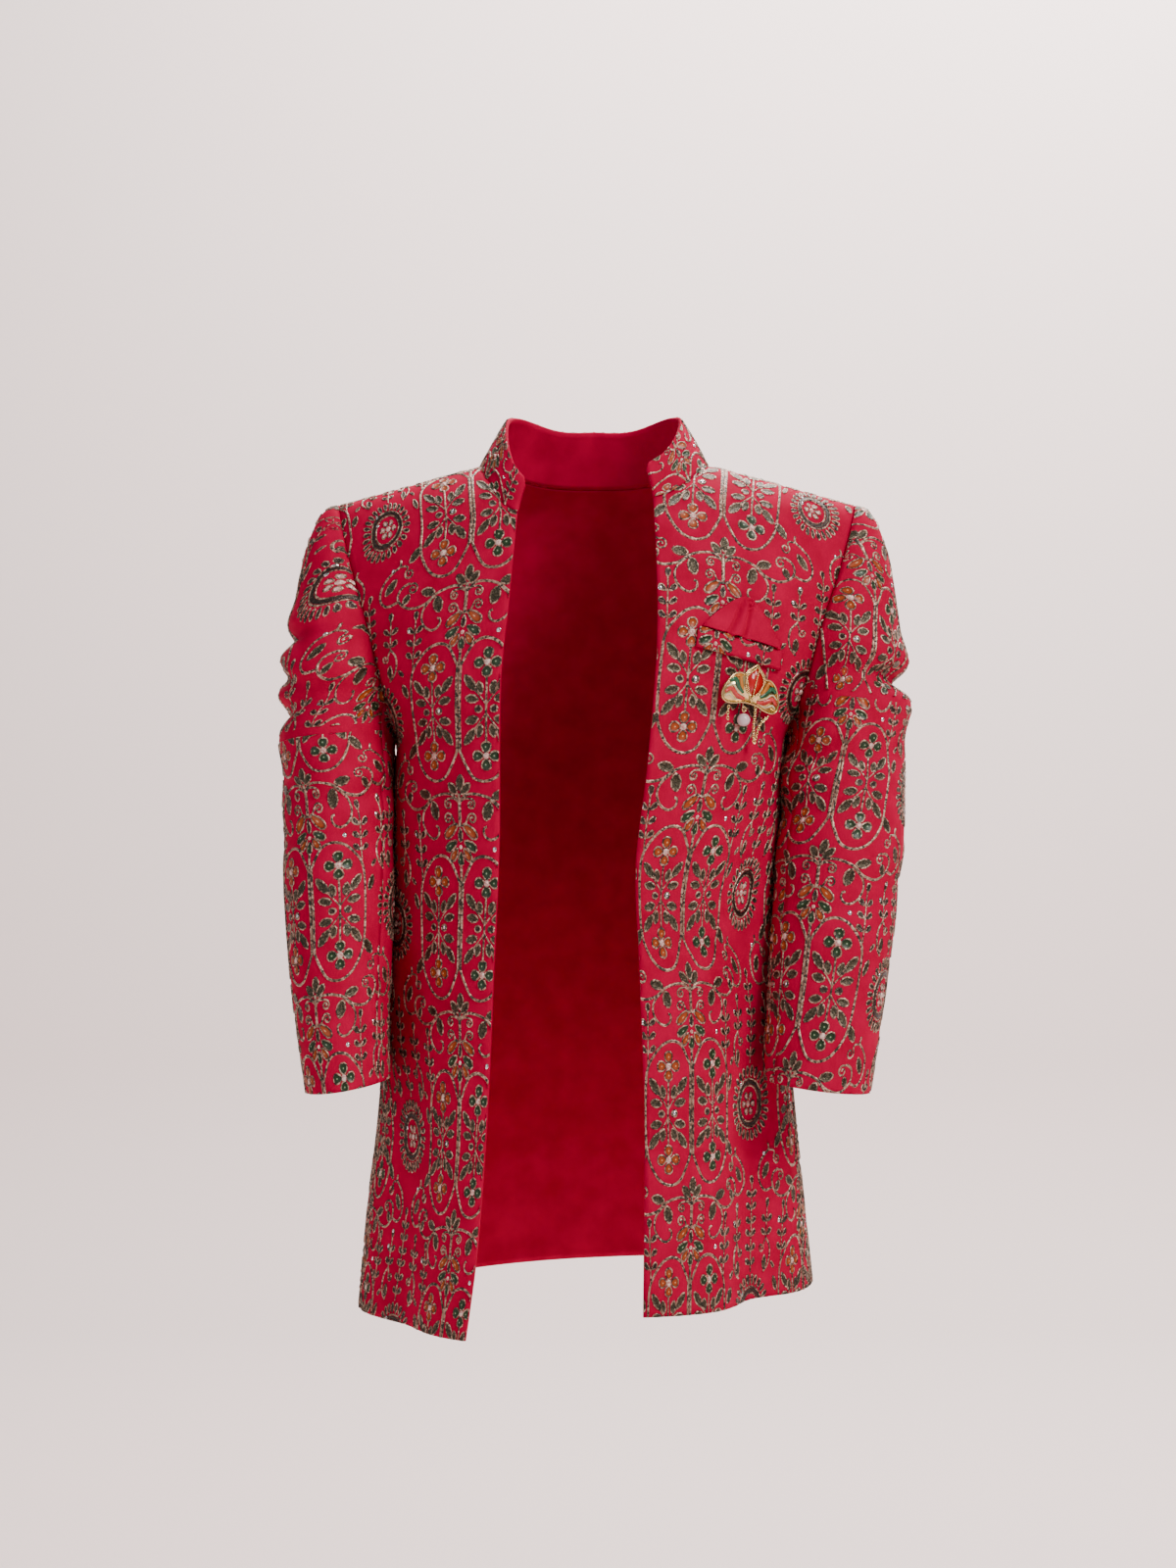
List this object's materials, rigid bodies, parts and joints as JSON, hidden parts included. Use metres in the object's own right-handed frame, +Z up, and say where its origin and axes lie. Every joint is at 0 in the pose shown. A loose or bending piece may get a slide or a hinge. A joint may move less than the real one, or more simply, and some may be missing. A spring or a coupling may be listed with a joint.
{
  "type": "child's embroidered sherwani coat",
  "caption": "Child's open-front knee-length coat with stand collar, two-piece sleeves, welt breast pocket with folded square, and a winged brooch with pearl drop.",
  "frame": {"origin": "middle of the wearer's neck at the height of the collar seam, where the coat hangs from neck and shoulders", "axes": "+Z up along the wearer, -Y out of the wearer's front, +X to the wearer's left"},
  "size_m": [0.3956, 0.2062, 0.5637],
  "materials": {
    "embroidered_cloth": "crimson silk with gold cord embroidery",
    "plain_cloth": "plain crimson satin weave",
    "brooch_metal": "polished gold plate with enamel",
    "pearl": "pearl lustre"
  },
  "bodies": {
    "root": {"front_left": "embroidered_cloth", "front_right": "embroidered_cloth", "back": "embroidered_cloth", "sleeve_top_left": "embroidered_cloth", "sleeve_under_left": "embroidered_cloth", "sleeve_top_right": "embroidered_cloth", "sleeve_under_right": "embroidered_cloth", "collar": "embroidered_cloth", "pocket_welt": "embroidered_cloth", "pocket_square": "plain_cloth", "brooch_plate": "brooch_metal", "brooch_chain_long": "brooch_metal", "brooch_chain_short": "brooch_metal", "brooch_bail": "brooch_metal", "brooch_pearl": "pearl"}
  },
  "joints": []
}
